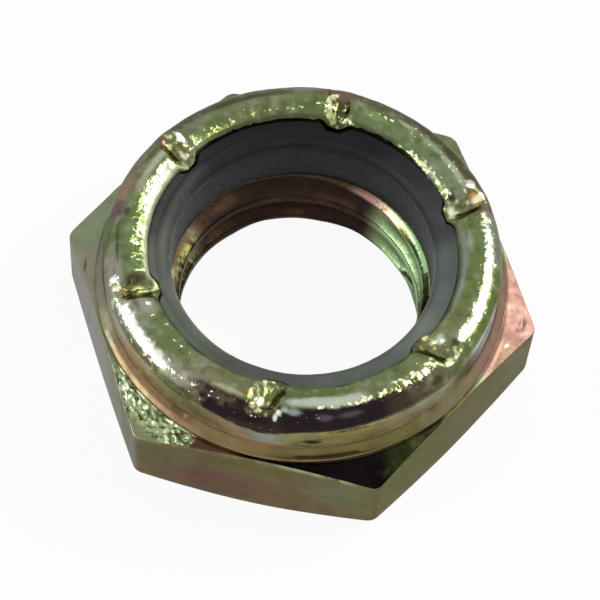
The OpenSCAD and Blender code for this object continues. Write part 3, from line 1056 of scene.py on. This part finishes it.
def ring_grid():
    """Section of the ring: out along its seat, up its rim, under the lip and down its bore."""
    grid = Grid(np.linspace(0, 360, 432, endpoint=False))
    grid.line((RING_R + RING_EDGE, SEAT_Z), (RING_OUTER_R, SEAT_Z), 4, (0, -1), POCKET)
    grid.line((RING_OUTER_R, SEAT_Z), (RING_OUTER_R, BEND_AT[1]), 4, (1, 0), POCKET)
    hollow = BEND_R - RING_GAP
    grid.arc(BEND_AT, hollow, 20, LIP_BEND, 4, POCKET)
    crown = RING_TOP + RING_RISE
    start = math.asin((crown - NOSE_AT[1]) / (NOSE_R + RING_TOUCH))
    grid.arc(NOSE_AT, NOSE_R + RING_TOUCH, LIP_BEND + 180, 180 - math.degrees(start), 8, POCKET, -1)
    inner = NOSE_AT[0] - (NOSE_R + RING_TOUCH) * math.cos(start)
    round_r = 1.0
    edge_at = (RING_R + round_r, RING_TOP - 0.04 - round_r)
    grid.line((inner, crown), (edge_at[0] + 0.1, edge_at[1] + round_r), 5, (-0.3, 1), LIP)
    grid.arc(edge_at, round_r, 90, 180, 14, LIP)
    grid.line((RING_R, edge_at[1]), (RING_R, SEAT_Z + RING_EDGE), 12, (-1, 0), BORE)
    grid.line((RING_R, SEAT_Z + RING_EDGE), (RING_R + RING_EDGE, SEAT_Z), 1, (-0.7, -0.7), BORE)
    return grid


# Height of the ring's top where a tab of the lip presses it down
DENT_Z = 9.72


def dent_ring(grid):
    """Soft unevenness, burrs on the inner edge, and a dent under each tab of the lip."""
    points = grid.points()
    zones = np.array(grid.zones)[:, None]
    radius = np.hypot(points[..., 0], points[..., 1])
    move = (zones == LIP) * (0.018 * grain(points, 2.4, 31) - 0.02)
    move += (zones == BORE) * 0.012 * grain(points, 2.0, 32)
    left = near(grid.angles, 172, 16, 18)
    edge = (zones == LIP) * smooth(radius, 9.3, 9.05)
    burr = smooth(grain(points * np.array([1, 1, 0.6]), 0.3, 33), 0.3, 0.55)
    move += edge * burr * (0.01 + 0.04 * left)
    grid.displace(move)
    for row, zone in zip(grid.rows, grid.zones):
        if zone == BORE or row[1][0] < 9:
            continue
        for mark in MARKS:
            off = np.abs(across_mark(mark, grid.angles, row[0])) / mark.half
            reach = TONGUE_REACH * smooth(off, 0.95, 0.3)
            tip = NOSE_AT[0] - NOSE_R - RING_GAP - reach
            dent = smooth(row[0], tip - 0.04, tip + 0.04) * (reach > 0)
            row[1] = row[1] + (np.minimum(row[1], DENT_Z) - row[1]) * dent


def nylon_material():
    """Satin dark grey nylon with cloudy tone and faint scuffs."""
    material, tree, shader = new_material("nylon")
    place = millimetres(tree)
    paint = stored(tree, "paint", "Color")
    colour = scale_colour(tree, paint, speckle(tree, place, 0.5, 0.3, 0.7, 3, (0.85, 1.15)))
    tree.links.new(colour, shader.inputs["Base Color"])
    shader.inputs["Specular IOR Level"].default_value = 0.16
    grit = speckle(tree, place, 2.5, 0.3, 0.7, 3, (0.4, 0.55))
    tree.links.new(grit, shader.inputs["Roughness"])
    fine = make(tree, "ShaderNodeBump", {"Strength": 0.2, "Distance": 0.01 * MM,
                                         "Height": speckle(tree, place, 6, 0.2, 0.8, 4)})
    tree.links.new(fine.outputs["Normal"], shader.inputs["Normal"])
    return material


def paint_ring(coat):
    """Grey nylon: near black in the shade and inside, paler where it faces the light."""
    every = np.ones(coat.rough.shape)
    coat.base(every, (60, 64, 62))
    coat.sectors(every, [
        (174, 20, 1, (54, 57, 54)), (-152, 20, 1, (88, 92, 84)), (-124, 12, 1, (92, 98, 86)),
        (-88, 20, 1, (78, 83, 77)), (-52, 14, 1, (86, 91, 86)), (-18, 9, 0.9, (112, 118, 108)),
        (6, 12, 1, (92, 98, 93)), (34, 8, 1, (58, 60, 61)), (62, 8, 1, (38, 37, 41)),
        (108, 34, 1, (16, 13, 17))], 16)
    edge = smooth(coat.radius, 9.4, 9.1) * (coat.height > 9.3)
    coat.base(edge * coat.near(102, 60, 20) * 0.7, (46, 45, 50))
    coat.base(edge * coat.near(178, 14, 14) * 0.6, (74, 77, 72))
    coat.base(edge * coat.near(-130, 18, 14) * 0.7, (118, 122, 110))
    rim = smooth(coat.radius, 9.7, 10.1) * (coat.zone != BORE)
    coat.base(rim * coat.near(152, 30, 16) * 0.7, (14, 12, 13))
    coat.base((coat.zone == BORE) * 0.85, (14, 12, 15))
    burr = smooth(coat.ragged, 0.25, 0.42) * smooth(coat.radius, 9.2, 9.0) * (coat.height > 9.6)
    coat.base(burr * coat.near(170, 20, 20) * 0.5, (190, 195, 195))


def make_ring():
    """The nylon piece with its paint and material."""
    grid = ring_grid()
    dent_ring(grid)
    coat = Coat(grid)
    paint_ring(coat)
    piece = grid.mesh("lock_nut_nylon", {"paint": coat.colour}, turned=True)
    piece.data.materials.append(nylon_material())
    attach(piece, "root")
    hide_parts("nylon_ring")
    return piece


# Studio

def seen_white(tree):
    """1 for what the camera, a mirror or glass sees, 0 for the light that falls on things."""
    path = make(tree, "ShaderNodeLightPath")
    seen = math_node(tree, "MAXIMUM", path.outputs["Is Camera Ray"], path.outputs["Is Glossy Ray"])
    return math_node(tree, "MAXIMUM", seen, path.outputs["Is Transmission Ray"])


def make_floor():
    """Plain white floor that keeps a faint shadow."""
    half = 400 * MM
    data = bpy.data.meshes.new("floor")
    data.from_pydata([(-half, -half, 0), (half, -half, 0), (half, half, 0), (-half, half, 0)],
                     [], [(0, 1, 2, 3)])
    floor = add_object("floor", data)
    material, tree, shader = new_material("floor")
    tree.nodes.remove(shader)
    matt = make(tree, "ShaderNodeBsdfDiffuse", {"Color": (0.85, 0.85, 0.85, 1)})
    glow = make(tree, "ShaderNodeEmission", {"Color": (1, 1, 1, 1), "Strength": 1.0})
    share = math_node(tree, "MULTIPLY", seen_white(tree), 0.93)
    mixed = make(tree, "ShaderNodeMixShader", {0: share, 1: matt.outputs[0], 2: glow.outputs[0]})
    tree.links.new(mixed.outputs[0], tree.nodes["Material Output"].inputs["Surface"])
    data.materials.append(material)


def make_world():
    """White surroundings, seen at full strength and lighting softly."""
    world = bpy.data.worlds.new("studio")
    world.use_nodes = True
    tree = world.node_tree
    strength = math_node(tree, "MULTIPLY_ADD", seen_white(tree), 0.6, 0.4)
    tree.nodes["Background"].inputs["Color"].default_value = (1, 1, 1, 1)
    tree.links.new(strength, tree.nodes["Background"].inputs["Strength"])
    bpy.context.scene.world = world


def make_lamp(name, azimuth, elevation, size, power):
    """Softbox aimed at the nut from this direction."""
    distance = 450 * MM
    data = bpy.data.lights.new(name, "AREA")
    data.shape = "RECTANGLE"
    data.size = size[0] * MM
    data.size_y = size[1] * MM
    data.energy = power
    lamp = add_object(name, data)
    toward = direction(azimuth, elevation)
    lamp.matrix_world = (Matrix.Translation(toward * distance)
                         @ toward.to_track_quat("Z", "Y").to_matrix().to_4x4())
    lamp.visible_camera = False


make_nut()
make_ring()
make_floor()
make_world()
make_lamp("window_back", 35, 42, (270, 300), 1.5)
make_lamp("window_left", 203, 17, (240, 290), 1.1)
bpy.context.scene.view_settings.view_transform = "Standard"
